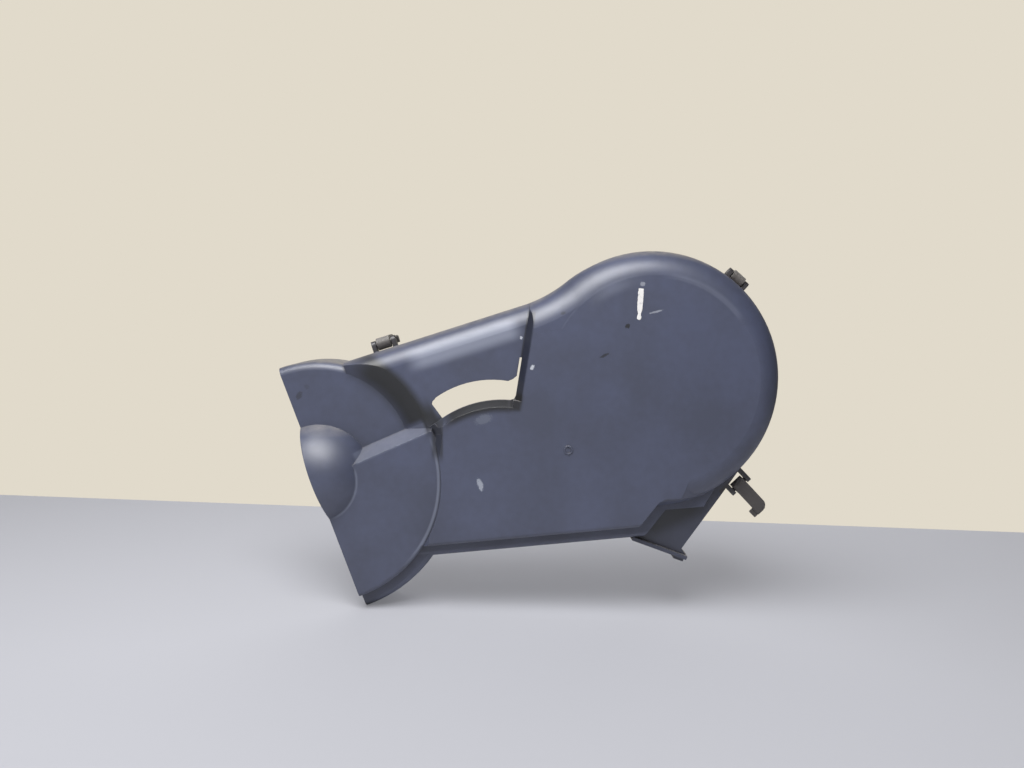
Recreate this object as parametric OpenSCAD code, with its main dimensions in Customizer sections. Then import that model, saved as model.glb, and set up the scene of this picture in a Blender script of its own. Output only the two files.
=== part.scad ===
// Timing cover: one moulded shell, open at the back and at the cut left end,
// with three moulded spring clips that swing in ears on its outer wall.
// Millimetres. +Z is up, the face looks toward -Y, the rear rim is the plane Y = 0.
// The origin is the centre of the round lobe, on the rear rim.
// The shapes are drawn flat, x right, y up and z out of the face, and stood up at the end.

/* [Shell] */
// Moulded wall thickness
wall = 2.5; // [1.5:0.1:3.5]
// Depth of the main face in front of the rear rim
face_h = 55; // [48:0.5:65]

/* [Lobe] */
// Radius of the round lobe over the camshaft wheel
lobe_r = 87; // [80:0.5:90]
// Radius of the rounded edge round the lobe
lobe_edge_r = 18; // [10:0.5:24]
// Radius of the hollow curve from the top edge into the lobe
blend_r = 100; // [70:1:130]

/* [Top strip] */
// How far the strip above the slot lies behind the main face
strip_drop = 8; // [4:0.5:12]
// Radius of the strip's rounded top edge
strip_edge_r = 14; // [6:0.5:18]
// Slope of the straight top edge
top_angle = 20; // [18:0.5:22]
// Distance of the straight top edge from the lobe's centre
top_off = 74.6; // [72:0.2:78]

/* [Bottom edge] */
// Slope of the straight bottom edge
bottom_angle = 7.4; // [5:0.2:10]
// Distance of the main face's bottom edge from the lobe's centre
bottom_off = 97; // [94:0.5:99]
// Width of the lip below the main face
lip_w = 10; // [6:0.5:14]
// How far the lip lies behind the main face
lip_drop = 12; // [8:0.5:16]
// Width of the lip where it runs round the corner tab
pocket_w = 10; // [7:0.5:11]
// Rounding of the lip's and the tab's outer edge
lip_edge_r = 4; // [2:0.5:6]
// Rounding of the main face's edges
face_edge_r = 3; // [1:0.5:4]

/* [Round end] */
// Hub centre, across from the lobe's centre
hub_x = -223; // [-226:0.5:-220]
// Hub centre, above the lobe's centre
hub_y = -76; // [-79:0.5:-73]
// Direction of the open cut through the hub
cut_angle = -68; // [-70:0.5:-66]
// Radius of the raised sector
sector_r = 84.5; // [82:0.5:86]
// How far the raised sector lies behind the main face
sector_drop = 4; // [2:0.5:6]
// Width of the flange round the raised sector
flange_w = 10; // [6:0.5:12]
// Radius of the low part of the round end
low_r = 79.5; // [78:0.5:81]
// How far the low part and the corner tab lie behind the main face
low_drop = 18; // [15:0.5:21]
// Radius of the low part's rounded edge
low_edge_r = 6; // [4:0.5:8]
// Radius where the sloping valley wall starts, on the low part
valley_r_in = 65; // [62:0.5:67]
// Radius where the valley wall reaches the strip
valley_r_out = 81; // [80:0.5:84]
// Radius where it would reach the main face
valley_r_face = 90; // [86:0.5:92]
// Direction of the ridge between the low part and the raised sector
ridge_angle = 26; // [22:0.5:30]
// Width of the ridge's slope
ridge_w = 7; // [4:0.5:9]
// Radius of the ball the dome is part of
dome_r = 39; // [36:0.5:42]
// How far the dome stands out in front of the main face
dome_rise = 7; // [5:0.5:9]

/* [Slot] */
// Radius of the slot's upper edge
slot_top_r = 65.5; // [63:0.5:68]
// Radius of the slot's lower edge
slot_low_r = 70; // [69:0.5:71]
// Width of the slit that runs up from the slot's right end
slit_w = 1.5; // [1:0.1:2.5]
// Width of the sloping edge of the main face along the slot and the step
slope_w = 4; // [2:0.5:5]

/* [Clips] */
// Distance of the clip hinges in front of the rear rim
hinge_h = 28; // [27.5:0.5:31]
// Radius of the clip's trunnions
pin_r = 1.6; // [1.2:0.1:1.8]
// Play of a trunnion in its ear, on the radius
pin_play = 0.05; // [0.02:0.01:0.1]
// Thickness of an ear
ear_t = 3; // [2.5:0.1:4]
// Clear width between a clip's ears
ear_gap = 11; // [10:0.2:13]
// Radius of an ear's round end
ear_r = 3; // [2.8:0.1:3.6]
// Radius of the clip's round root between the ears
barrel_r = 4.2; // [3.6:0.1:4.6]
// Side play of the clip between its ears
clip_play = 1.8; // [0.6:0.1:2.4]
// Length of a clip from hinge to tip
clip_len = 25.5; // [22:0.5:26.5]
// Width of a clip's blade
clip_w = 9.2; // [8:0.2:10]
// Thickness of a clip's blade
clip_t = 2.4; // [1.6:0.1:3]
// Length of a clip's hook
hook_len = 4.5; // [3:0.25:5]
// How far the hook stands out beside the blade
hook_side = 3.2; // [2:0.2:4]
// Rounding of the blade's other tip corner
tip_r = 6; // [3:0.5:7]
// How far the third clip stands open
clip_3_open = 84; // [70:1:110]

/* [Hidden] */
$fn = 96;
low_h = face_h - low_drop;
lip_h = face_h - lip_drop;
flange_h = lip_h - 0.5;
strip_h = face_h - strip_drop;
sector_h = face_h - sector_drop;
dome_z = face_h + dome_rise - dome_r;
flange_r = sector_r + flange_w;
far = 300;
// Top edge: its outward normal and its direction to the left
top_n = [-sin(top_angle), cos(top_angle)];
top_t = [-cos(top_angle), -sin(top_angle)];
// Centre of the hollow curve that touches the top edge and the lobe
blend_s = sqrt(pow(lobe_r + blend_r, 2) - pow(top_off + blend_r, 2));
blend_c = top_n * (top_off + blend_r) + top_t * blend_s;
blend_sink = 0.1;
// Bottom edge: its outward normal and its direction to the right
bot_n = [sin(bottom_angle), -cos(bottom_angle)];
bot_t = [cos(bottom_angle), sin(bottom_angle)];
// Step between the strip and the main face, slot centres and slot ends
step_top = [-86.3, 27.5];
step_low = [-91.1, -13.4];
step_d = (step_top - step_low) / norm(step_top - step_low);
slot_top_c = [-104.7, -68.7];
slot_low_c = [-97.7, -86.4];
slot_a0 = 87.5;
slot_a1 = 127;
// Main face's short edge beside the corner tab: its lower and upper end, and the way out of it
body_a = bot_n * bottom_off - bot_t * 17.5;
body_b = [7.6, -80.8];
body_n = [body_b[1] - body_a[1], body_a[0] - body_b[0]] / norm(body_b - body_a);
// Main face's edge above the corner tab, from its corner to its right-hand end, and the way out of it
body_c = [12.6, -78.2];
body_d = [40, -76];
body_m = [body_d[1] - body_c[1], body_c[0] - body_d[0]] / norm(body_d - body_c);
// Centre of the valley wall's curve, off the hub
valley_c = 10 * [cos(100), sin(100)];
// Where the valley wall meets the strip, the direction of its lower end and how far the end turns inward
valley_foot = [valley_r_out + 0.6, strip_h + 0.4];
valley_a0 = 17;
valley_turn = 22;
// Corner tab, lower right: its lower left, lower right, right-hand and upper corners
tab_a = (lobe_r + 23.38) * [cos(-93.27), sin(-93.27)];
tab_b = (lobe_r + 40.3) * [cos(-75.07), sin(-75.07)];
tab_c = (lobe_r + 32.8) * [cos(-76.2), sin(-76.2)];
tab_d = (lobe_r + 7.4) * [cos(-55.2), sin(-55.2)];
tab_e = lobe_r * [cos(-35.5), sin(-35.5)];
// Distance of a clip's hinge from the wall, so that the closed hook clears the wall
hinge_out = max(hook_len + clip_t - barrel_r + 1.2, barrel_r + 0.4);
// Clips: hinge place, outward direction, how far open
clip_1 = concat(top_n * (top_off + hinge_out) + top_t * 165.6, [90 + top_angle, 0]);
clip_2 = [(lobe_r + hinge_out) * cos(51), (lobe_r + hinge_out) * sin(51), 51, 0];
clip_3 = [(lobe_r + 12) * cos(-46.24), (lobe_r + 12) * sin(-46.24), -44, clip_3_open];

// Plan helpers

function unit(v) = v / norm(v);

// Where the line from p along d meets the line with normal n at distance off
function meet(p, d, n, off) = p + d * (off - p * n) / (d * n);

function arc(c, r, a0, a1, n) =
    [for (k = [0:n]) c + r * [cos(a0 + (a1 - a0) * k / n), sin(a0 + (a1 - a0) * k / n)]];

// A closed outline moved inward by d, each edge parallel to itself
function inset(p, d) = let (m = len(p))
    [for (k = [0:m - 1])
        let (u = unit(p[k] - p[(k + m - 1) % m]),
             v = unit(p[(k + 1) % m] - p[k]),
             nu = [-u[1], u[0]],
             nv = [-v[1], v[0]])
        p[k] + d * (nu + nv) / (1 + nu * nv)];

// Section of a wall and face with a rounded front edge: the edge at off, the hollow's moved in by i
module edge_section(off, depth, h, r, i) {
    difference() {
        translate([off - depth, base(i)]) square([depth - i, h - i - base(i)]);
        corner_cut(off - i, h - i, max(r - i, 0.3));
    }
}

// What rounds the corner at x, y clears away. The arc meets both sides a little short of tangent
module corner_cut(x, y, r) {
    c = 0.997 * r;
    difference() {
        translate([x - r, y - r]) square(r + 5);
        translate([x - c, y - c]) circle(r);
    }
}

// Straight bar with that section, its edge in direction a and its length from s0 to s1
module edge_bar(a, off, s0, s1, depth, h, r, i) {
    rotate([0, 0, a])
    translate([s0, 0, 0])
    rotate([90, 0, 90])
    linear_extrude(s1 - s0) edge_section(off, depth, h, r, i);
}

// What rounds the front edge of a straight wall clears away, the edge in direction a
module edge_cut(a, off, s0, s1, h, r, i) {
    rotate([0, 0, a])
    translate([s0, 0, 0])
    rotate([90, 0, 90])
    linear_extrude(s1 - s0) corner_cut(off - i, h - i, max(r - i, 0.3));
}

// Flat block on an outline
module block(p, h, i) {
    translate([0, 0, base(i)]) linear_extrude(h - i - base(i)) polygon(inset(p, i));
}

// Half-space on the left of the line from p to q, moved to the right by d
module left_of(p, q, d) {
    v = unit(q - p);
    translate([p[0] + v[1] * d, p[1] - v[0] * d, 0])
    rotate([0, 0, atan2(v[1], v[0])])
    translate([-far, 0, -far / 2]) cube([2 * far, far, far]);
}

// Disc with that section
module disc(r_out, h, r, i) {
    rotate_extrude() edge_section(r_out, r_out, h, r, i);
}

module at_hub() {
    translate([hub_x, hub_y, 0]) children();
}

module stand() {
    rotate([90, 0, 0]) children();
}

// Shell bodies: i is 0 for the outside and the wall thickness for the hollow

function base(i) = i > 0 ? -2 : -1;

module lobe(i) {
    disc(lobe_r, face_h, lobe_edge_r, i);
}

// Hollow curve from the top edge into the lobe, its end sunk a little into the lobe
module blend(i) {
    a1 = top_angle - 100;
    translate([blend_c[0], blend_c[1], 0])
    rotate([0, 0, a1])
    rotate_extrude(angle = atan2(-blend_c[1], -blend_c[0]) - a1)
    mirror([1, 0]) edge_section(-blend_r - blend_sink, 52, face_h - blend_sink, lobe_edge_r, i);
}

function body_outline() = concat(
    [body_a, body_b, body_c, body_d, [57, -26], [40, 10], [-10, 40], [-48, 36], step_top, step_low,
     step_low + [-1, -2.2]],
    arc(slot_low_c, slot_low_r, slot_a0, slot_a1, 12),
    [[-158, -44], [-176, -80], bot_n * bottom_off - bot_t * 178]);

module body(i) {
    difference() {
        block(body_outline(), face_h, i);
        edge_cut(180 + bottom_angle, bottom_off, 0, 190, face_h, face_edge_r, i);
        pocket_ramp(i);
    }
}

// The main face falls away to the right beside the corner tab: what that clears away
module pocket_ramp(i) {
    translate([body_d[0] - 17, body_d[1], face_h - i])
    rotate([0, 0, -20])
    rotate([0, 30, 0])
    translate([-5, -60, 0]) cube([80, 120, 60]);
}

// Section of what a sloping edge clears away, the edge at x, moved in by i with the walls
module slope_section(x, i) {
    d = [slope_w, 1.8 * slope_w];
    a = [x, face_h] - [d[1], d[0]] * i / norm(d) - [slope_w, 0];
    polygon([a - [2, -3.6], a + [d[0], -d[1]] + [1, -1.8], [x + 20, a[1] - d[1]], [x + 20, a[1] + 3.6]]);
}

// Sloping edge of the main face along the step
module step_slope(i) {
    translate(concat(step_low, [0]))
    rotate([0, 0, atan2(step_d[1], step_d[0])])
    translate([-2.5, 0, 0])
    rotate([90, 0, 90])
    linear_extrude(80) slope_section(0, i);
}

// Sloping edge of the main face along the slot
module slot_slope(i) {
    translate(concat(slot_low_c, [0]))
    rotate([0, 0, slot_a0 - 1.5])
    rotate_extrude(angle = slot_a1 - slot_a0 + 6)
    slope_section(slot_low_r, i);
}

module strip(i) {
    edge_bar(top_angle, top_off, -195, -50, 76, strip_h, strip_edge_r, i);
}

module slot() {
    translate([0, 0, -1])
    linear_extrude(face_h + 20)
    union() {
        intersection() {
            translate(slot_top_c) circle(slot_top_r);
            polygon([[-147.2, -21.4], [-138, -33], [-95, -26], [-86, -14], [-90, 0], [-91, 6],
                     [-143, 6], [-145.2, -17.8], [-146.8, -19.4]]);
        }
        polygon([[-98, -6], [-96.5, -3.6], [-93.4, -2.2], step_low + step_d * 13.5 + [-slit_w, 0],
                 step_low + step_d * 26 + [-slit_w, 0], step_low + [9, 25.8], step_low + [6, 8]]);
    }
}

// Sloping wall round the low part: what it clears away above itself
module valley(i) {
    s = i * 0.6;
    at_hub()
    translate(valley_c)
    rotate([0, 0, valley_a0])
    rotate_extrude(angle = 136 - valley_a0)
    polygon([[0, low_h - i - 0.3],
             [valley_r_in + s - 0.5, low_h - i - 0.3],
             [valley_foot[0] + s, valley_foot[1] - i],
             [valley_r_face + s, face_h - i],
             [valley_r_face + 2 + s, face_h + 30],
             [0, face_h + 30]]);
}

// Lower end of that wall: a flat slope from its last line, which runs out beside the raised sector
module valley_end(i) {
    foot = [valley_foot[0] * cos(valley_turn), valley_foot[1]];
    top = [valley_r_face * cos(valley_turn), face_h];
    d = top - foot;
    at_hub()
    translate(concat(valley_c + 0.6 * i * [cos(valley_a0), sin(valley_a0)], [0.25 - i]))
    intersection() {
        rotate([0, 0, valley_a0]) translate([0, -far, -far / 2]) cube([far, far, far]);
        rotate([0, 0, valley_a0 - valley_turn])
        translate([0, far / 2, 0])
        rotate([90, 0, 0])
        linear_extrude(far) polygon([top - 4 * d, top + d, top + d + [0, 30], top - 4 * d + [0, 60]]);
    }
}

module raised(i) {
    difference() {
        union() {
            lobe(i);
            difference() {
                union() {
                    body(i);
                    difference() {
                        blend(i);
                        left_of(step_low, step_top, i);
                    }
                }
                step_slope(i);
                slot_slope(i);
            }
            difference() {
                strip(i);
                if (i == 0) slot();
            }
        }
        valley(i);
        valley_end(i);
        intersection() {
            at_hub() translate([0, 0, base(i) - 5]) cylinder(r = valley_r_in + 2, h = far);
            below_ridge(-4.6);
        }
        intersection() {
            at_hub() translate([0, 0, base(i) - 5]) cylinder(r = sector_r + i, h = far);
            below_ridge(0);
        }
    }
}

// Keeps what lies below the ridge line, moved in by i
module below_ridge(i) {
    at_hub() rotate([0, 0, ridge_angle]) translate([-far / 2, -far - i, -far / 2]) cube([far, far, far]);
}

// Raised sector with the ridge's slope along one side and a rounded edge above the flange
module sector(i) {
    difference() {
        intersection() {
            at_hub()
            translate([0, 0, base(i)])
            cylinder(r = sector_r + 1 + (i > 0 ? wall : 0), h = sector_h - i - base(i));
            below_ridge(-ridge_w);
        }
        ridge_cut(i);
        difference() {
            at_hub()
            rotate_extrude()
            difference() {
                translate([low_r - 20, base(i) - 1]) square([30, sector_h + 10]);
                edge_section(sector_r, sector_r, sector_h, face_edge_r, i);
            }
            translate(concat(bot_n * (bottom_off - i - 0.4) - bot_t * far, [-far / 2]))
            rotate([0, 0, bottom_angle]) cube([far, far, far]);
        }
    }
}

// What the ridge's slope clears away above itself
module ridge_cut(i) {
    a = [-i, sector_h - i];
    d = [ridge_w - 0.2 * i, low_h - sector_h];
    at_hub()
    rotate([0, 0, ridge_angle])
    translate([-20, 0, 0])
    rotate([90, 0, 90])
    linear_extrude(far)
    polygon([a - d, a + 1.5 * d, a + 1.5 * d + [40, 0], a - d + [40, 0]]);
}

module round_end(i) {
    at_hub() disc(low_r, low_h, low_edge_r, i);
    sector(i);
    intersection() {
        at_hub() disc(flange_r, flange_h, lip_edge_r, i);
        below_ridge(i);
    }
    at_hub() rotate_extrude() intersection() {
        translate([0, dome_z]) circle(dome_r - i);
        translate([0, base(i)]) square([dome_r, dome_r + face_h]);
    }
}

function lip_outline() = [
    bot_n * (bottom_off + lip_w) - bot_t * 190,
    meet(body_a + body_n * pocket_w, body_a - body_b, bot_n, bottom_off + lip_w),
    meet(body_a + body_n * pocket_w, body_a - body_b, body_m, body_c * body_m + pocket_w),
    body_d + body_m * (pocket_w - 1),
    [48, -71],
    [20, -50],
    bot_n * 50 - bot_t * 190];

function tab_outline() = [
    tab_a, tab_b, tab_c, tab_d, tab_e, [40, -20], [-2, -60]];

// The lip runs below the main face and on round the corner tab
module lip(i) {
    difference() {
        block(lip_outline(), lip_h, i);
        edge_cut(180 + bottom_angle, bottom_off + lip_w, 0, 200, lip_h, lip_edge_r, i);
    }
}

module tab(i) {
    block(tab_outline(), low_h, i);
}

// Thick bead along the tab's bottom edge, and the foot that locates it
module tab_edge() {
    v = unit(tab_b - tab_a);
    translate([tab_a[0], tab_a[1], 0])
    rotate([0, 0, atan2(v[1], v[0])]) {
        translate([0, -1, low_h - 6]) cube([norm(tab_b - tab_a) - 1, 2.6, 9]);
        translate([norm(tab_b - tab_a) - 8, -4, low_h - 15]) cube([7, 6, 12]);
    }
}

// Clip parts, drawn at the hinge: x out of the wall, y along the hinge, z to the front

module at_clip(c) {
    translate([c[0], c[1], hinge_h]) rotate([0, 0, c[2]]) children();
}

module ears(c) {
    at_clip(c)
    for (s = [-1, 1])
        translate([0, s * (ear_gap + ear_t) / 2, 0])
        rotate([90, 0, 0])
        translate([0, 0, -ear_t / 2]) {
            cylinder(r = ear_r, h = ear_t);
            translate([-14, -ear_r, 0]) cube([14, 2 * ear_r, ear_t]);
        }
}

module ear_holes(c) {
    at_clip(c)
    rotate([90, 0, 0])
    cylinder(r = pin_r + pin_play, h = ear_gap + 2 * ear_t + 2, center = true);
}

// Side outline of a clip's blade, closed position: straight, then bowed toward the wall
function blade_outline() = let (o = barrel_r, c = [o - 26, -clip_len + 9])
    concat([[o - clip_t, 0]], arc(c, 26 - clip_t, 0, -22, 5), arc(c, 26, -20, 0, 5), [[o, 0]]);

// Side outline of the hook at its tip
function hook_outline() = let (b = barrel_r - clip_t)
    [[b, -clip_len], [b + 0.8, -clip_len + 6.4], [b - 0.5, -clip_len + 6.4],
     [b - hook_len, -clip_len + 3.2], [b - hook_len, -clip_len + 1.4], [b - hook_len + 1.4, -clip_len]];

// Front outline of the blade, one tip corner rounded
function blade_front() = let (w = clip_w / 2)
    concat([[w, 2], [-w, 2], [-w, -clip_len]],
           arc([w - tip_r, -clip_len + tip_r], tip_r, -90, 0, 8));

module clip(c) {
    color([0.17, 0.16, 0.155])
    stand()
    at_clip(c)
    rotate([0, -c[3], 0]) {
        rotate([90, 0, 0]) cylinder(r = barrel_r, h = ear_gap - clip_play, center = true);
        rotate([90, 0, 0]) cylinder(r = pin_r, h = ear_gap + 2 * ear_t - 0.4, center = true);
        intersection() {
            rotate([90, 0, 0]) translate([0, 0, -clip_w]) linear_extrude(2 * clip_w) polygon(blade_outline());
            rotate([90, 0, 90]) translate([0, 0, -20]) linear_extrude(40) polygon(blade_front());
        }
        rotate([90, 0, 0])
        translate([0, 0, -2])
        linear_extrude(clip_w / 2 + hook_side + 2) polygon(hook_outline());
    }
}

module cover() {
    color([0.22, 0.235, 0.28])
    stand()
    difference() {
        union() {
            raised(0);
            round_end(0);
            lip(0);
            tab(0);
            tab_edge();
            ears(clip_1);
            ears(clip_2);
            ears(clip_3);
            gate_mark();
        }
        raised(wall);
        round_end(wall);
        lip(wall);
        tab(wall);
        ear_holes(clip_1);
        ear_holes(clip_2);
        ear_holes(clip_3);
        at_hub() rotate([0, 0, cut_angle]) translate([-far, -far, -far / 2]) cube([2 * far, far, far]);
        translate([-far, -far, -far]) cube([2 * far, 2 * far, far]);
    }
}

// Small ring left by the mould on the main face
module gate_mark() {
    translate([-55, -47.5, face_h - 1])
    difference() {
        cylinder(r = 3, h = 1.5);
        translate([0, 0, 1]) cylinder(r = 2, h = 2);
    }
}

cover();
clip(clip_1);
clip(clip_2);
clip(clip_3);
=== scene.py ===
"""Looks of a moulded timing cover with three swinging clips, laid out as an add-on.

Metres, in the CAD's frame: +X right, +Z up, the face toward -Y, the rear rim at Y = 0.
The tables of wear are in millimetres and degrees.
"""

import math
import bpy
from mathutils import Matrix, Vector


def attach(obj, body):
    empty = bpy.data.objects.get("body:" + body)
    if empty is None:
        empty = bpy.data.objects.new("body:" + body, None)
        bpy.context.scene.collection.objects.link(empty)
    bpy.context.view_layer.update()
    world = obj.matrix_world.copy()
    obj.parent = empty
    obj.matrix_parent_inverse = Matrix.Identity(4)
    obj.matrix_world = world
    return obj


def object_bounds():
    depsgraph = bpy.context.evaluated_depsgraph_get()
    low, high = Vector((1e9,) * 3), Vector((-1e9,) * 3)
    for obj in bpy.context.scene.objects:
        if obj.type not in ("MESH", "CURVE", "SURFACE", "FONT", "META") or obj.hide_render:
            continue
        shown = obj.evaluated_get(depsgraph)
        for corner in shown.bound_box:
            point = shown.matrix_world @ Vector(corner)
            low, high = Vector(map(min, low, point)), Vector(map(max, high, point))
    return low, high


bl_info = {
    "name": "Timing cover",
    "version": (1, 0, 0),
    "blender": (4, 5, 0),
    "location": "3D View > Sidebar > Cover",
    "description": "Finishes, wear marks and studio stage of a moulded timing cover",
    "category": "Object",
}

from collections import namedtuple

import bpy
from mathutils import Matrix, Vector

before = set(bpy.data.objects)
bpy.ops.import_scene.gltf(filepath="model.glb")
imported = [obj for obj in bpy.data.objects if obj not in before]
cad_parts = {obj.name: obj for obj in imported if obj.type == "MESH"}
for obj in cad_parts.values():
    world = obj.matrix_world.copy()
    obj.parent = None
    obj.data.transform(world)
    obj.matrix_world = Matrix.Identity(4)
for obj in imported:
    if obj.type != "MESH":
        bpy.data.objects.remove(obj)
cad_box = [list(corner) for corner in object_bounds()]

MM = 0.001
# Depths in the CAD: the main face, the strip, the low part of the round end and the clips' hinges
FACE_Y = -55 * MM
STRIP_Y = -47 * MM
LOW_Y = -37 * MM
HINGE_Y = -28 * MM
# Half way round the lobe's rounded edge
LOBE_EDGE_Y = -50 * MM
# The cover stands on the tip of its cut end
FLOOR_Z = cad_box[0][2]
CLIPS = ("clip_1", "clip_2", "clip_3")

# Sockets of a colour mix and of a vector mix, whose names the node uses more than once
COLOUR_A = 6
COLOUR_B = 7
COLOUR_OUT = 2
VECTOR_A = 4
VECTOR_B = 5
VECTOR_OUT = 1

# Marks: place across and up, depth, width, height, turn, colour and strength
Mark = namedtuple("Mark", "x z y width height turn colour strength")
MARKS = (
    # Dark spots on the face, the long one a smear
    Mark(-19.9, 36.3, FACE_Y, 4.4, 4.2, 0, "15161b", 0.95),
    Mark(-34.2, 16.2, FACE_Y, 8.8, 2.3, 30, "1e2029", 0.9),
    Mark(-62.5, 43.0, FACE_Y, 4.0, 2.6, 15, "2d2f39", 0.7),
    # Chips on both sides of the step
    Mark(-81.2, 6.5, FACE_Y, 3.0, 4.8, -20, "d3d7df", 0.75),
    Mark(-89.1, 25.5, STRIP_Y, 2.4, 3.0, -20, "d3d7df", 0.7),
    # A pale scrape, and scuffs under the slot and round the paint stroke
    Mark(-112.5, -72.9, FACE_Y, 4.6, 11.0, 18, "a9aeba", 0.75),
    Mark(-112.1, -29.1, FACE_Y, 15.0, 8.0, 20, "7e8490", 0.3),
    Mark(-1.4, 46.4, FACE_Y, 12.5, 1.7, 16, "c4c8d2", 0.4),
    Mark(-11.4, 64.1, FACE_Y, 4.4, 3.6, 10, "c9ccd4", 0.35),
    # Stains on the low part and on the lobe's edge
    Mark(-238.1, -20.2, LOW_Y, 5.0, 8.0, -25, "25262d", 0.6),
    Mark(-232.9, -13.8, LOW_Y, 5.0, 4.0, 20, "31333c", 0.4),
    Mark(57.0, 41.5, LOBE_EDGE_Y, 9.0, 6.0, -40, "32343f", 0.4),
)
# A mark reaches this far in depth, and its edge is ragged by this share of it
MARK_DEPTH = 6 * MM
MARK_RAG = 0.6

# Straight bands of painted shade and painted highlight, and a darker tab: middle across and up, left and
# right edge, half length, turn, softness at the left, the right and the ends, depth in front of which they
# end, colour and strength
Band = namedtuple("Band", "x z left right half turn soft_left soft_right soft_end foremost colour strength")
# In front of the whole cover
ANY_DEPTH = -70
# The tab and the pocket lie behind this depth, and the face in front of it
BEHIND_FACE = -41
BANDS = (
    # Painted shade along the step and at its foot
    Band(-87.4, 13.0, -1.2, 2.4, 29.0, -6.7, 0.8, 2.0, 3.0, ANY_DEPTH, "191c29", 0.9),
    Band(-91.3, -17.0, -3.0, 2.4, 4.0, -6.7, 1.0, 3.5, 3.0, ANY_DEPTH, "0b0c12", 0.94),
    # Painted shade in the groove beside the raised sector
    Band(-139.6, -43.0, -5.0, 0.5, 9.0, 2, 3.0, 1.5, 9.0, ANY_DEPTH, "1d1f27", 0.8),
    # The corner tab painted darker all over, and painted shade in its pocket's upper corner
    Band(22.0, -105.0, -40.0, 40.0, 40.0, 0, 2.0, 2.0, 2.0, BEHIND_FACE, "1c1d24", 0.4),
    Band(19.0, -95.0, -12.0, 14.0, 2.0, 28, 8.0, 16.0, 10.0, BEHIND_FACE, "14161c", 0.8),
    # Painted highlight below the strip's rounded edge and on the ridge
    Band(-123.0, 21.0, -32.0, 26.0, 2.5, 20, 16.0, 12.0, 7.5, ANY_DEPTH, "a3a9bb", 0.5),
    Band(-173.1, -48.4, -26.0, 24.0, 3.0, 26, 2.0, 2.0, 1.5, ANY_DEPTH, "9aa1b5", 0.15),
)
# Half of the depth over which a band ends
BAND_FADE = 2

# Bands along a curve: its centre across and up, inner and outer radius, softness of each,
# first and last direction, softness of each, colour and strength
Curve = namedtuple(
    "Curve", "x z inner outer soft_in soft_out first last soft_first soft_last colour strength")
CURVES = (
    # Painted shade in the valley and at its low end, and below the slot
    Curve(-224.7, -66.2, 72.0, 80.0, 13.0, 7.0, 25, 68, 2, 8, "0e0f0c", 0.96),
    Curve(-224.7, -66.2, 80.0, 87.0, 3.0, 4.0, 19, 31, 6, 6, "101110", 0.88),
    Curve(-97.7, -86.4, 65.5, 71.0, 5.0, 0.8, 86, 126, 4, 6, "0b0c12", 0.96),
    # Painted highlight on the sector's edges, toward the face and round the dome
    Curve(-223.0, -76.0, 82.2, 82.8, 1.2, 1.2, -38, 21, 9, 4, "9aa1b5", 0.35),
    Curve(-223.0, -76.0, 27.2, 27.8, 1.0, 1.2, -60, 18, 8, 6, "9aa1b5", 0.2),
    # Painted highlight inside the lobe's rounded edge
    Curve(0.0, 0.0, 69.4, 70.8, 1.6, 2.6, 40, 84, 4, 6, "8d93a6", 0.15),
    Curve(0.0, 0.0, 67.5, 70.0, 6.0, 3.0, 112, 124, 18, 13, "a3a9bb", 0.3),
)

# Ears of the three hinges: place across and up, outward direction, how far they reach in to the wall
Ear = namedtuple("Ear", "x z out depth")
EARS = (Ear(-182.7, 17.8, 110, 4.2), Ear(57.6, 71.2, 51, 4.2), Ear(68.5, -71.5, -44, 9.5))
# How far they reach outward, along the hinge and fore and aft, and the dark tone painted on them
EAR_OUTWARD = 8 * MM
EAR_ALONG = 14 * MM
EAR_FORE_AFT = 10 * MM
EAR_DARK = "332f2e"
EAR_SHARE = 0.85

# Beside the step the face runs into the lobe without a broken edge
SEAM_PLACE = (-66 * MM, FACE_Y, 36 * MM)
SEAM_REACH = (20 * MM, 6 * MM, 18 * MM)
MOULD_EDGE = 0.6 * MM
# The dome's apex lies on the cut, where a fan of thin triangles would glint
APEX_PLACE = (-223 * MM, -62 * MM, -76 * MM)
APEX_REACH = (3 * MM, 1.2 * MM, 3 * MM)

# The paint stroke's place, turn and film. The film's middle lies in front of the face by FILM_RISE of its
# thickness.
STROKE_X = -12.4 * MM
STROKE_Z = 50.9 * MM
STROKE_TURN = 1.2
FILM_THICKNESS = 0.12 * MM
FILM_RISE = 0.3
FILM_RAG = 0.7 * MM
FILM_SEED = 4.0
FILM_INPUTS = (
    ("Centre", "Vector"), ("Turn", "Vector"), ("Length", "Float"), ("Width", "Float"),
    ("Thickness", "Float"), ("Ragged", "Float"), ("Seed", "Float"), ("Paint", "Material"),
)
# Height up the stroke and the share of its width that is left out there: a round foot, a neck above it
# and the full brush further up
NARROWING = (
    (0.0, 0.7), (0.03, 0.4), (0.08, 0.22), (0.17, 0.45), (0.32, 0.12), (0.6, 0.0), (0.95, 0.04), (1.0, 0.12))
FEWEST_FACES = 100

# Stage: the floor ends a little behind the cover, and a pale wall stands well back
FLOOR_SIDE = 1.4
FLOOR_NEAR = -1.3
FLOOR_FAR = 0.24
WALL_Y = 1.0
WALL_LEFT = -1.4
WALL_RIGHT = 1.2
WALL_FOOT = -1.0
WALL_TOP = 0.85
# How much of its colour each shows unlit to the camera, and the part of that which reflections show
FLOOR_OWN = 0.3
WALL_OWN = 1.0
MIRRORED = 0.25
# Lamps: name, place, width, height and whether they shine in glossy surfaces. The one behind lights the
# open back, without a shine on the edges seen from the front.
LAMPS = (
    ("key", (-0.28, -0.446, 0.636), 0.72, 0.48, True),
    ("fill", (0.25, -1.25, 0.25), 1.4, 1.0, True),
    ("back", (0.1, 0.85, 0.4), 1.4, 0.8, False),
)
LAMP_TARGET = (-0.08, -0.03, -0.02)

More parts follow.
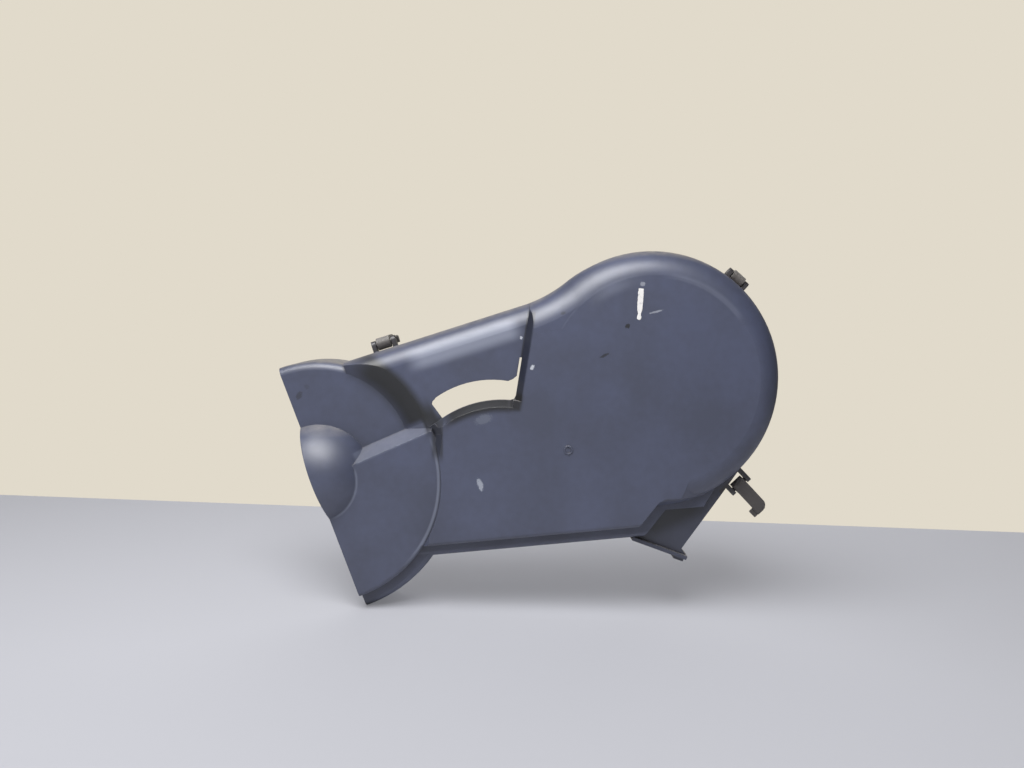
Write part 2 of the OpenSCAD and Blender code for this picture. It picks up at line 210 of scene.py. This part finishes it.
# Camera fitted to the photo: focal length in its pixels, place, and the directions ahead and to the right
FRAME_WIDTH = 1024
FOCAL_LENGTH = 837.2
SENSOR_WIDTH = 36
CAMERA_PLACE = (-0.10403, -0.605, 0.04207)
CAMERA_AHEAD = (0.0179, 0.9962, -0.0851)
CAMERA_RIGHT = (0.9991, -0.0144, 0.041)


def linear(code):
    """Linear red, green and blue of an sRGB hex colour."""
    parts = [int(code[k : k + 2], 16) / 255 for k in (0, 2, 4)]
    return tuple(c / 12.92 if c <= 0.04045 else ((c + 0.055) / 1.055) ** 2.4 for c in parts)


def rgba(colour):
    """A colour with full alpha, as a colour socket takes it."""
    return (colour[0], colour[1], colour[2], 1.0)


def add(tree, kind, inputs=None, **settings):
    """A new node with its settings, its input values and the links into it."""
    node = tree.nodes.new(kind)
    for name, value in settings.items():
        setattr(node, name, value)
    for name, value in (inputs or {}).items():
        socket = node.inputs[name]
        if isinstance(value, bpy.types.NodeSocket):
            tree.links.new(value, socket)
        else:
            socket.default_value = value
    return node


def blank_material(name):
    """A new material, and its node tree with nothing in it."""
    material = bpy.data.materials.new(name)
    material.use_nodes = True
    material.node_tree.nodes.clear()
    return material, material.node_tree


def dress(name, material):
    """Give a CAD node this material alone."""
    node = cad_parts[name]
    node.data.materials.clear()
    node.data.materials.append(material)


def turned_axes(tree, place, middle, turn):
    """X, Y and Z measured from a middle, with the axes turned in the plane of the face."""
    local = add(tree, "ShaderNodeMapping", {
        "Vector": place, "Location": middle, "Rotation": (0, math.radians(-turn), 0)},
        vector_type="TEXTURE")
    return add(tree, "ShaderNodeSeparateXYZ", {"Vector": local.outputs["Vector"]}).outputs


def oval(tree, place, middle, reach, turn=0):
    """A value that falls from 1 in the middle to 0 at the reach along each axis."""
    local = add(tree, "ShaderNodeMapping", {
        "Vector": place, "Location": middle, "Rotation": (0, math.radians(-turn), 0), "Scale": reach},
        vector_type="TEXTURE")
    return add(tree, "ShaderNodeTexGradient", {
        "Vector": local.outputs["Vector"]}, gradient_type="SPHERICAL").outputs["Fac"]


def soft_share(tree, share, strength, edges):
    """A share cut off softly at each edge: a value, where nothing is left and where all is left."""
    for value, off, on in edges:
        kept = add(tree, "ShaderNodeMapRange", {
            "Value": value, "From Min": off, "From Max": on}, interpolation_type="SMOOTHSTEP")
        share = add(tree, "ShaderNodeMath", {
            0: share, 1: kept.outputs["Result"]}, operation="MULTIPLY").outputs[0]
    return add(tree, "ShaderNodeMapRange", {"Value": share, "To Max": strength}).outputs["Result"]


def colour_setting(name, description, code):
    return bpy.props.FloatVectorProperty(
        name=name, description=description, subtype="COLOR", size=3, min=0, max=1, default=linear(code))


def length_setting(name, description, least, most, default):
    return bpy.props.FloatProperty(
        name=name, description=description, subtype="DISTANCE", unit="LENGTH",
        min=least * MM, max=most * MM, default=default * MM)


def power_setting(name, description, default):
    return bpy.props.FloatProperty(
        name=name, description=description, subtype="POWER", min=0, max=200, default=default)


class CoverFinish(bpy.types.PropertyGroup):
    plastic: colour_setting("Plastic", "Colour of the cover's plastic", "4a5068")
    plastic_dark: colour_setting("Darker plastic", "Colour where the plastic has been handled", "404559")
    # Colour of the painted shade in corners and creases
    crease_shade: colour_setting("Grime", "Colour of the dirt in corners and creases", "1f2026")
    grain: length_setting("Grain", "Size of the moulded grain", 0.2, 5, 0.9)
    # Pale colour of convex edges: partly rubbed wear, partly a painted highlight
    worn: colour_setting("Worn edge", "Colour of edges rubbed pale", "8f95a8")
    dust: colour_setting("Dust", "Colour of the dust on upper faces", "86827e")


class ClipFinish(bpy.types.PropertyGroup):
    plastic: colour_setting("Plastic", "Colour of the clips' plastic", "4b4746")
    dust: colour_setting("Dust", "Colour of the dust on upper faces", "9b9895")


class PaintStroke(bpy.types.PropertyGroup):
    colour: colour_setting("Paint", "Colour of the paint stroke", "eceae8")
    worn: colour_setting("Worn paint", "Colour of the paint where it has worn thin", "9a9ca6")
    length: length_setting("Length", "Length of the paint stroke", 5, 50, 20.5)
    width: length_setting("Width", "Width of the paint stroke", 1, 10, 3.6)


class StageSettings(bpy.types.PropertyGroup):
    floor: colour_setting("Floor", "Colour of the floor", "bcbdc4")
    wall: colour_setting("Wall", "Colour of the wall behind", "e1dacb")
    key: power_setting("Key lamp", "Power of the lamp above", 10.5)
    fill: power_setting("Fill lamp", "Power of the lamp in front", 0.5)
    back: power_setting("Back lamp", "Power of the lamp behind", 7)
    room: bpy.props.FloatProperty(
        name="Room light", description="Strength of the light from all round", min=0, max=2, default=0.1)


class TimingCoverLooks(bpy.types.PropertyGroup):
    cover: bpy.props.PointerProperty(type=CoverFinish)
    clips: bpy.props.PointerProperty(type=ClipFinish)
    paint: bpy.props.PointerProperty(type=PaintStroke)
    stage: bpy.props.PointerProperty(type=StageSettings)


class COVER_OT_finish_cover(bpy.types.Operator):
    """Give the moulded cover its plastic, grain, dust, marks, painted shade and painted highlights"""

    bl_idname = "timing_cover.finish_cover"
    bl_label = "Finish the cover"

    def wear_dust_and_painted_light(self, tree, looks, mottle, up):
        """The share and the colour of pale edges, partly worn and partly a painted highlight, of painted
        shade in corners and creases, and of dust.
        """
        # Convex edges within 1 mm painted pale in patches: partly rubbed wear, partly a painted highlight
        brink = add(tree, "ShaderNodeAmbientOcclusion", {"Distance": 1 * MM}, samples=6, inside=True)
        worn_and_lit_edge = add(tree, "ShaderNodeMapRange", {
            "Value": brink.outputs["AO"], "From Min": 0.62, "From Max": 0.3, "To Max": 0.45})
        patchy = add(tree, "ShaderNodeMath", {
            0: worn_and_lit_edge.outputs["Result"], 1: mottle}, operation="MULTIPLY")
        yield patchy.outputs[0], looks.worn

        # Painted shade in corners and creases within 9 mm of another wall
        shelter = add(tree, "ShaderNodeAmbientOcclusion", {"Distance": 9 * MM}, samples=6)
        crease_shaded = add(tree, "ShaderNodeMapRange", {
            "Value": shelter.outputs["AO"], "From Min": 0.9, "From Max": 0.35, "To Max": 0.75})
        yield crease_shaded.outputs["Result"], looks.crease_shade

        # Dust that lies on upper faces, warmer than the plastic
        lying = add(tree, "ShaderNodeMapRange", {
            "Value": up, "From Min": 0.75, "From Max": 0.97, "To Max": 1.3})
        settled = add(tree, "ShaderNodeMath", {
            0: lying.outputs["Result"], 1: mottle}, operation="MULTIPLY")
        yield settled.outputs[0], looks.dust

    def curves(self, tree, place, front):
        """The share and the colour of each band along a curve."""
        for band in CURVES:
            arm = add(tree, "ShaderNodeVectorMath", {
                0: place, 1: (band.x * MM, 0, band.z * MM)}, operation="SUBTRACT").outputs[0]
            part = add(tree, "ShaderNodeSeparateXYZ", {"Vector": arm}).outputs
            flat = add(tree, "ShaderNodeVectorMath", {0: arm, 1: (1, 0, 1)}, operation="MULTIPLY")
            reach = add(tree, "ShaderNodeVectorMath", {
                0: flat.outputs[0]}, operation="LENGTH").outputs["Value"]
            turn = add(tree, "ShaderNodeMath", {
                0: part["Z"], 1: part["X"]}, operation="ARCTAN2").outputs[0]
            first_off = math.radians(band.first - band.soft_first)
            first_on = math.radians(band.first + band.soft_first)
            last_off = math.radians(band.last + band.soft_last)
            last_on = math.radians(band.last - band.soft_last)
            share = soft_share(tree, front, band.strength, (
                (reach, (band.inner - band.soft_in) * MM, band.inner * MM),
                (reach, (band.outer + band.soft_out) * MM, band.outer * MM),
                (turn, first_off, first_on),
                (turn, last_off, last_on),
            ))
            yield share, linear(band.colour)

    def bands(self, tree, place, front):
        """The share and the colour of each straight band."""
        for band in BANDS:
            part = turned_axes(tree, place, (band.x * MM, 0, band.z * MM), band.turn)
            end = band.half + band.soft_end
            share = soft_share(tree, front, band.strength, (
                (part["X"], (band.left - band.soft_left) * MM, band.left * MM),
                (part["X"], (band.right + band.soft_right) * MM, band.right * MM),
                (part["Z"], -end * MM, -band.half * MM),
                (part["Z"], end * MM, band.half * MM),
                (part["Y"], (band.foremost - BAND_FADE) * MM, (band.foremost + BAND_FADE) * MM),
            ))
            yield share, linear(band.colour)

    def ears(self, tree, place):
        """The share and the colour of the dark tone painted on each pair of ears, all round."""
        for ear in EARS:
            part = turned_axes(tree, place, (ear.x * MM, HINGE_Y, ear.z * MM), ear.out)
            share = EAR_SHARE
            for test, inputs in (
                ("GREATER_THAN", {0: part["X"], 1: -ear.depth * MM}),
                ("LESS_THAN", {0: part["X"], 1: EAR_OUTWARD}),
                ("COMPARE", {0: part["Z"], 1: 0.0, 2: EAR_ALONG}),
                ("COMPARE", {0: part["Y"], 1: 0.0, 2: EAR_FORE_AFT}),
            ):
                within = add(tree, "ShaderNodeMath", inputs, operation=test)
                share = add(tree, "ShaderNodeMath", {
                    0: share, 1: within.outputs[0]}, operation="MULTIPLY").outputs[0]
            yield share, linear(EAR_DARK)

    def marks(self, tree, place, front):
        """The share and the colour of each mark, an oval with an edge ragged at about 0.8 mm."""
        rag = add(tree, "ShaderNodeTexNoise", {"Vector": place, "Scale": 1 / (0.8 * MM), "Detail": 2.0})
        ragged = add(tree, "ShaderNodeMapRange", {
            "Value": rag.outputs["Fac"], "To Min": -MARK_RAG, "To Max": MARK_RAG})
        for mark in MARKS:
            reach = (mark.width / 2 * MM, MARK_DEPTH, mark.height / 2 * MM)
            spot = oval(tree, place, (mark.x * MM, mark.y, mark.z * MM), reach, mark.turn)
            edge = add(tree, "ShaderNodeMath", {0: spot, 1: ragged.outputs["Result"]}, operation="ADD")
            inside = add(tree, "ShaderNodeMath", {0: spot, 1: 0.001}, operation="GREATER_THAN")
            cover = add(tree, "ShaderNodeMapRange", {
                "Value": edge.outputs[0], "From Min": 0.12, "From Max": 0.4, "To Max": mark.strength})
            shown = add(tree, "ShaderNodeMath", {
                0: cover.outputs["Result"], 1: inside.outputs[0]}, operation="MULTIPLY")
            share = add(tree, "ShaderNodeMath", {0: shown.outputs[0], 1: front}, operation="MULTIPLY")
            yield share.outputs[0], linear(mark.colour)

    def relief(self, tree, looks, place):
        """The normal: broken mould edges, a level apex on the dome and the grain."""
        seam = oval(tree, place, SEAM_PLACE, SEAM_REACH)
        broken = add(tree, "ShaderNodeMapRange", {
            "Value": seam, "From Max": 0.06, "To Min": MOULD_EDGE, "To Max": 0.0})
        soft = add(tree, "ShaderNodeBevel", {"Radius": broken.outputs["Result"]}, samples=4)
        apex = oval(tree, place, APEX_PLACE, APEX_REACH)
        at_apex = add(tree, "ShaderNodeMapRange", {"Value": apex, "From Max": 0.25})
        level = add(tree, "ShaderNodeMix", {
            0: at_apex.outputs["Result"], VECTOR_A: soft.outputs["Normal"], VECTOR_B: (0, -1, 0)},
            data_type="VECTOR")
        # Grain drawn about three times as coarse as moulded, so that it shows in the render
        grain = add(tree, "ShaderNodeTexNoise", {
            "Vector": place, "Scale": 1 / looks.grain, "Detail": 2.0, "Roughness": 0.6})
        bump = add(tree, "ShaderNodeBump", {
            "Height": grain.outputs["Fac"], "Normal": level.outputs[VECTOR_OUT],
            "Strength": 0.22, "Distance": 0.1 * MM})
        return bump.outputs["Normal"]

    def execute(self, context):
        looks = context.scene.timing_cover.cover
        # Moulded polypropylene: a matte dark blue-grey with a fine grain that breaks up the shine
        material, tree = blank_material("Moulded polypropylene, dark blue-grey")
        spot = add(tree, "ShaderNodeTexCoord")
        place = spot.outputs["Object"]
        way = add(tree, "ShaderNodeSeparateXYZ", {"Vector": spot.outputs["Normal"]}).outputs
        # Marks lie on faces that look to the front, and not on the inside behind them
        front = add(tree, "ShaderNodeMapRange", {
            "Value": way["Y"], "From Min": 0.0, "From Max": -0.12}).outputs["Result"]

        # Cloudy handling tone, patches about 45 mm across, with a mottle of about 5 mm in it
        cloud = add(tree, "ShaderNodeTexNoise", {
            "Vector": place, "Scale": 1 / (45 * MM), "Detail": 3.0}).outputs["Fac"]
        mottle = add(tree, "ShaderNodeTexNoise", {
            "Vector": place, "Scale": 1 / (5 * MM), "Detail": 3.0}).outputs["Fac"]
        both = add(tree, "ShaderNodeMath", {0: mottle, 1: 0.35, 2: cloud}, operation="MULTIPLY_ADD")
        tone = add(tree, "ShaderNodeMapRange", {
            "Value": both.outputs[0], "From Min": 0.5, "From Max": 0.85})
        colour = add(tree, "ShaderNodeMix", {
            0: tone.outputs["Result"], COLOUR_A: rgba(looks.plastic_dark), COLOUR_B: rgba(looks.plastic)},
            data_type="RGBA").outputs[COLOUR_OUT]

        # Each layer of wear, dust, painted shade or painted highlight covers the ones before it
        for share, layer in (
            *self.wear_dust_and_painted_light(tree, looks, mottle, way["Z"]),
            *self.curves(tree, place, front),
            *self.bands(tree, place, front),
            *self.ears(tree, place),
            *self.marks(tree, place, front),
        ):
            colour = add(tree, "ShaderNodeMix", {
                0: share, COLOUR_A: colour, COLOUR_B: rgba(layer)}, data_type="RGBA").outputs[COLOUR_OUT]

        shine = add(tree, "ShaderNodeMapRange", {
            "Value": cloud, "From Min": 0.3, "From Max": 0.7, "To Min": 0.5, "To Max": 0.42})
        shader = add(tree, "ShaderNodeBsdfPrincipled", {
            "Base Color": colour, "Roughness": shine.outputs["Result"],
            "Normal": self.relief(tree, looks, place), "IOR": 1.49, "Specular IOR Level": 1.0})
        add(tree, "ShaderNodeOutputMaterial", {"Surface": shader.outputs["BSDF"]})
        dress("cover", material)
        return {"FINISHED"}


class COVER_OT_finish_clips(bpy.types.Operator):
    """Give the three clips their dusty plastic"""

    bl_idname = "timing_cover.finish_clips"
    bl_label = "Finish the clips"

    def execute(self, context):
        looks = context.scene.timing_cover.clips
        # Moulded nylon: black turned brown-grey by dust, duller where the dust lies
        material, tree = blank_material("Moulded nylon, dusty black")
        spot = add(tree, "ShaderNodeTexCoord")
        # Dust in specks about 2 mm across, thicker on faces that look up
        specks = add(tree, "ShaderNodeTexNoise", {
            "Vector": spot.outputs["Object"], "Scale": 1 / (2 * MM), "Detail": 4.0}).outputs["Fac"]
        way = add(tree, "ShaderNodeSeparateXYZ", {"Vector": spot.outputs["Normal"]}).outputs
        lying = add(tree, "ShaderNodeMapRange", {
            "Value": way["Z"], "From Min": -0.2, "From Max": 1.0, "To Max": 0.55})
        lay = add(tree, "ShaderNodeMath", {0: specks, 1: lying.outputs["Result"]}, operation="MULTIPLY")
        dusty = add(tree, "ShaderNodeMapRange", {
            "Value": lay.outputs[0], "From Min": 0.02, "From Max": 0.4,
            "To Min": 0.08, "To Max": 0.8}).outputs["Result"]
        tint = add(tree, "ShaderNodeMix", {
            0: dusty, COLOUR_A: rgba(looks.plastic), COLOUR_B: rgba(looks.dust)}, data_type="RGBA")
        dull = add(tree, "ShaderNodeMapRange", {"Value": dusty, "To Min": 0.45, "To Max": 0.8})
        soft = add(tree, "ShaderNodeBevel", {"Radius": 0.4 * MM}, samples=4)
        bump = add(tree, "ShaderNodeBump", {
            "Height": specks, "Normal": soft.outputs["Normal"], "Strength": 0.2, "Distance": 0.15 * MM})
        shader = add(tree, "ShaderNodeBsdfPrincipled", {
            "Base Color": tint.outputs[COLOUR_OUT], "Roughness": dull.outputs["Result"],
            "Normal": bump.outputs["Normal"], "IOR": 1.53})
        add(tree, "ShaderNodeOutputMaterial", {"Surface": shader.outputs["BSDF"]})
        for name in CLIPS:
            dress(name, material)
        return {"FINISHED"}


class COVER_OT_paint_stroke(bpy.types.Operator):
    """Lay the worn white paint stroke on the main face"""

    bl_idname = "timing_cover.paint_stroke"
    bl_label = "Paint stroke"

    def lacquer(self, looks):
        # Paint-pen lacquer: an even white film, worn grey in places
        material, tree = blank_material("Paint-pen lacquer, worn white")
        place = add(tree, "ShaderNodeTexCoord").outputs["Object"]
        # Worn patches about 2.5 mm across
        worn = add(tree, "ShaderNodeTexNoise", {
            "Vector": place, "Scale": 1 / (2.5 * MM), "Detail": 4.0}).outputs["Fac"]
        share = add(tree, "ShaderNodeMapRange", {
            "Value": worn, "From Min": 0.55, "From Max": 0.75, "To Max": 0.6})
        tint = add(tree, "ShaderNodeMix", {
            0: share.outputs["Result"], COLOUR_A: rgba(looks.colour), COLOUR_B: rgba(looks.worn)},
            data_type="RGBA")
        bump = add(tree, "ShaderNodeBump", {"Height": worn, "Strength": 0.2, "Distance": 0.1 * MM})
        shader = add(tree, "ShaderNodeBsdfPrincipled", {
            "Base Color": tint.outputs[COLOUR_OUT], "Roughness": 0.5, "Normal": bump.outputs["Normal"]})
        add(tree, "ShaderNodeOutputMaterial", {"Surface": shader.outputs["BSDF"]})
        return material

    def film(self):
        """A thin film with ragged edges, narrower toward its worn end."""
        tree = bpy.data.node_groups.new("Paint film", "GeometryNodeTree")
        tree.interface.new_socket("Geometry", in_out="OUTPUT", socket_type="NodeSocketGeometry")
        for name, kind in FILM_INPUTS:
            tree.interface.new_socket(name, in_out="INPUT", socket_type="NodeSocket" + kind)
        given = add(tree, "NodeGroupInput").outputs
        size = add(tree, "ShaderNodeCombineXYZ", {
            "X": given["Width"], "Y": given["Thickness"], "Z": given["Length"]})
        block = add(tree, "GeometryNodeMeshCube", {
            "Size": size.outputs["Vector"], "Vertices X": 10, "Vertices Y": 2, "Vertices Z": 56})
        place = add(tree, "GeometryNodeInputPosition").outputs["Position"]
        part = add(tree, "ShaderNodeSeparateXYZ", {"Vector": place}).outputs

        # Edges that waver within the plane of the face, at about 1.6 mm
        waver = add(tree, "ShaderNodeTexNoise", {
            "Vector": place, "W": given["Seed"], "Scale": 1 / (1.6 * MM), "Detail": 2.0},
            noise_dimensions="4D")
        centred = add(tree, "ShaderNodeVectorMath", {
            0: waver.outputs["Color"], 1: (0.5, 0.5, 0.5)}, operation="SUBTRACT")
        in_face = add(tree, "ShaderNodeVectorMath", {
            0: centred.outputs[0], 1: (1, 0, 1)}, operation="MULTIPLY")
        rag = add(tree, "ShaderNodeVectorMath", {
            0: in_face.outputs[0], "Scale": given["Ragged"]}, operation="SCALE")

        # The width that is left out at each height
        along = add(tree, "ShaderNodeMath", {0: part["Z"], 1: given["Length"]}, operation="DIVIDE")
        rise = add(tree, "ShaderNodeMath", {0: along.outputs[0], 1: 0.5}, operation="ADD")
        narrow = add(tree, "ShaderNodeFloatCurve", {"Value": rise.outputs[0]})
        points = narrow.mapping.curves[0].points
        points[0].location = NARROWING[0]
        points[1].location = NARROWING[-1]
        for height, share in NARROWING[1:-1]:
            points.new(height, share)
        narrow.mapping.update()
        less = add(tree, "ShaderNodeMath", {0: narrow.outputs["Value"], 1: -1.0}, operation="MULTIPLY")
        pinch = add(tree, "ShaderNodeMath", {0: part["X"], 1: less.outputs[0]}, operation="MULTIPLY")
        pinched = add(tree, "ShaderNodeCombineXYZ", {"X": pinch.outputs[0]})

        shift = add(tree, "ShaderNodeVectorMath", {
            0: rag.outputs[0], 1: pinched.outputs["Vector"]}, operation="ADD")
        moved = add(tree, "GeometryNodeSetPosition", {
            "Geometry": block.outputs["Mesh"], "Offset": shift.outputs[0]})
        laid = add(tree, "GeometryNodeTransform", {
            "Geometry": moved.outputs["Geometry"], "Translation": given["Centre"], "Rotation": given["Turn"]})
        whole = add(tree, "GeometryNodeRealizeInstances", {"Geometry": laid.outputs["Geometry"]})
        dressed = add(tree, "GeometryNodeSetMaterial", {
            "Geometry": whole.outputs["Geometry"], "Material": given["Paint"]})
        add(tree, "NodeGroupOutput", {"Geometry": dressed.outputs["Geometry"]})
        return tree

    def execute(self, context):
        looks = context.scene.timing_cover.paint
        tree = self.film()
        values = {
            "Centre": (STROKE_X, FACE_Y - FILM_RISE * FILM_THICKNESS, STROKE_Z),
            "Turn": (0, math.radians(STROKE_TURN), 0),
            "Length": looks.length,
            "Width": looks.width,
            "Thickness": FILM_THICKNESS,
            "Ragged": FILM_RAG,
            "Seed": FILM_SEED,
            "Paint": self.lacquer(looks),
        }
        source = bpy.data.objects.new("paint_source", bpy.data.meshes.new("paint_source"))
        context.scene.collection.objects.link(source)
        modifier = source.modifiers.new("Paint film", "NODES")
        modifier.node_group = tree
        for item in tree.interface.items_tree:
            if item.in_out == "INPUT":
                modifier[item.identifier] = values[item.name]
        context.view_layer.update()
        mesh = bpy.data.meshes.new_from_object(source.evaluated_get(context.evaluated_depsgraph_get()))
        bpy.data.objects.remove(source)
        if len(mesh.polygons) < FEWEST_FACES:
            raise RuntimeError("the paint film came out empty")
        mesh.name = "paint_stroke"
        piece = bpy.data.objects.new("paint_stroke", mesh)
        context.scene.collection.objects.link(piece)
        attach(piece, "shell")
        return {"FINISHED"}


class COVER_OT_stage(bpy.types.Operator):
    """Set up the floor, the wall, the lamps and the camera"""

    bl_idname = "timing_cover.stage"
    bl_label = "Stage"

    def sheet(self, context, name, corners, colour, own):
        """A flat sheet of the stage, plain coloured. own is how much of its colour the camera sees unlit."""
        mesh = bpy.data.meshes.new(name)
        mesh.from_pydata(corners, [], [tuple(range(len(corners)))])
        sheet = bpy.data.objects.new(name, mesh)
        context.scene.collection.objects.link(sheet)
        material, tree = blank_material(name)
        matte = add(tree, "ShaderNodeBsdfDiffuse", {"Color": rgba(colour)})
        path = add(tree, "ShaderNodeLightPath").outputs
        # Reflections show it dimmer, as its foot lies in the cover's shade
        rays = add(tree, "ShaderNodeMath", {
            0: path["Is Glossy Ray"], 1: MIRRORED, 2: path["Is Camera Ray"]}, operation="MULTIPLY_ADD")
        seen = add(tree, "ShaderNodeMath", {0: rays.outputs[0], 1: own}, operation="MULTIPLY")
        plain = add(tree, "ShaderNodeEmission", {"Color": rgba(colour), "Strength": 1.0})
        surface = add(tree, "ShaderNodeMixShader", {
            0: seen.outputs[0], 1: matte.outputs["BSDF"], 2: plain.outputs["Emission"]})
        add(tree, "ShaderNodeOutputMaterial", {"Surface": surface.outputs["Shader"]})
        mesh.materials.append(material)

    def lamp(self, context, name, power, place, width, height, glossy):
        """A soft rectangular lamp that faces the cover."""
        data = bpy.data.lights.new(name, "AREA")
        data.shape = "RECTANGLE"
        data.size = width
        data.size_y = height
        data.energy = power
        lamp = bpy.data.objects.new(name, data)
        lamp.location = place
        lamp.rotation_euler = (Vector(LAMP_TARGET) - Vector(place)).to_track_quat("-Z", "Y").to_euler()
        lamp.visible_glossy = glossy
        context.scene.collection.objects.link(lamp)

    def room(self, looks):
        """A world that the camera sees in the wall's colour, and that lights the scene only a little."""
        world = bpy.data.worlds.new("Room")
        world.use_nodes = True
        tree = world.node_tree
        tree.nodes.clear()
        path = add(tree, "ShaderNodeLightPath").outputs
        level = add(tree, "ShaderNodeMapRange", {
            "Value": path["Is Camera Ray"], "To Min": looks.room, "To Max": 1.0})
        light = add(tree, "ShaderNodeBackground", {
            "Color": rgba(looks.wall), "Strength": level.outputs["Result"]})
        add(tree, "ShaderNodeOutputWorld", {"Surface": light.outputs["Background"]})
        return world

    def camera(self, context):
        """The photo's camera, slightly turned as it was."""
        data = bpy.data.cameras.new("camera")
        data.sensor_fit = "HORIZONTAL"
        data.sensor_width = SENSOR_WIDTH
        data.lens = SENSOR_WIDTH * FOCAL_LENGTH / FRAME_WIDTH
        data.clip_start = 0.01
        data.clip_end = 20
        camera = bpy.data.objects.new("camera", data)
        ahead = Vector(CAMERA_AHEAD).normalized()
        right = Vector(CAMERA_RIGHT)
        right = (right - ahead * right.dot(ahead)).normalized()
        above = right.cross(ahead)
        turn = Matrix((right, above, -ahead)).transposed().to_4x4()
        camera.matrix_world = Matrix.Translation(CAMERA_PLACE) @ turn
        context.scene.collection.objects.link(camera)
        return camera

    def execute(self, context):
        looks = context.scene.timing_cover.stage
        scene = context.scene
        scene.view_settings.view_transform = "Standard"
        floor = [
            (-FLOOR_SIDE, FLOOR_NEAR, FLOOR_Z), (FLOOR_SIDE, FLOOR_NEAR, FLOOR_Z),
            (FLOOR_SIDE, FLOOR_FAR, FLOOR_Z), (-FLOOR_SIDE, FLOOR_FAR, FLOOR_Z)]
        wall = [
            (WALL_LEFT, WALL_Y, WALL_FOOT), (WALL_RIGHT, WALL_Y, WALL_FOOT),
            (WALL_RIGHT, WALL_Y, WALL_TOP), (WALL_LEFT, WALL_Y, WALL_TOP)]
        self.sheet(context, "floor", floor, looks.floor, FLOOR_OWN)
        self.sheet(context, "wall", wall, looks.wall, WALL_OWN)
        for name, place, width, height, glossy in LAMPS:
            self.lamp(context, name, getattr(looks, name), place, width, height, glossy)
        scene.world = self.room(looks)
        scene.camera = self.camera(context)
        return {"FINISHED"}


class COVER_PT_panel(bpy.types.Panel):
    bl_label = "Timing cover"
    bl_space_type = "VIEW_3D"
    bl_region_type = "UI"
    bl_category = "Cover"

    def draw(self, context):
        looks = context.scene.timing_cover
        cover_names = ("plastic", "plastic_dark", "crease_shade", "grain", "worn", "dust")
        for group, operator, names in (
            (looks.cover, COVER_OT_finish_cover, cover_names),
            (looks.clips, COVER_OT_finish_clips, ("plastic", "dust")),
            (looks.paint, COVER_OT_paint_stroke, ("colour", "worn", "length", "width")),
            (looks.stage, COVER_OT_stage, ("floor", "wall", "key", "fill", "back", "room")),
        ):
            column = self.layout.column()
            for name in names:
                column.prop(group, name)
            column.operator(operator.bl_idname)


CLASSES = (
    CoverFinish, ClipFinish, PaintStroke, StageSettings, TimingCoverLooks,
    COVER_OT_finish_cover, COVER_OT_finish_clips, COVER_OT_paint_stroke, COVER_OT_stage, COVER_PT_panel,
)


def register():
    for item in CLASSES:
        bpy.utils.register_class(item)
    bpy.types.Scene.timing_cover = bpy.props.PointerProperty(type=TimingCoverLooks)


def unregister():
    del bpy.types.Scene.timing_cover
    for item in reversed(CLASSES):
        bpy.utils.unregister_class(item)


def main():
    register()
    bpy.ops.timing_cover.stage()
    bpy.ops.timing_cover.finish_cover()
    bpy.ops.timing_cover.finish_clips()
    bpy.ops.timing_cover.paint_stroke()


if __name__ == "__main__":
    main()
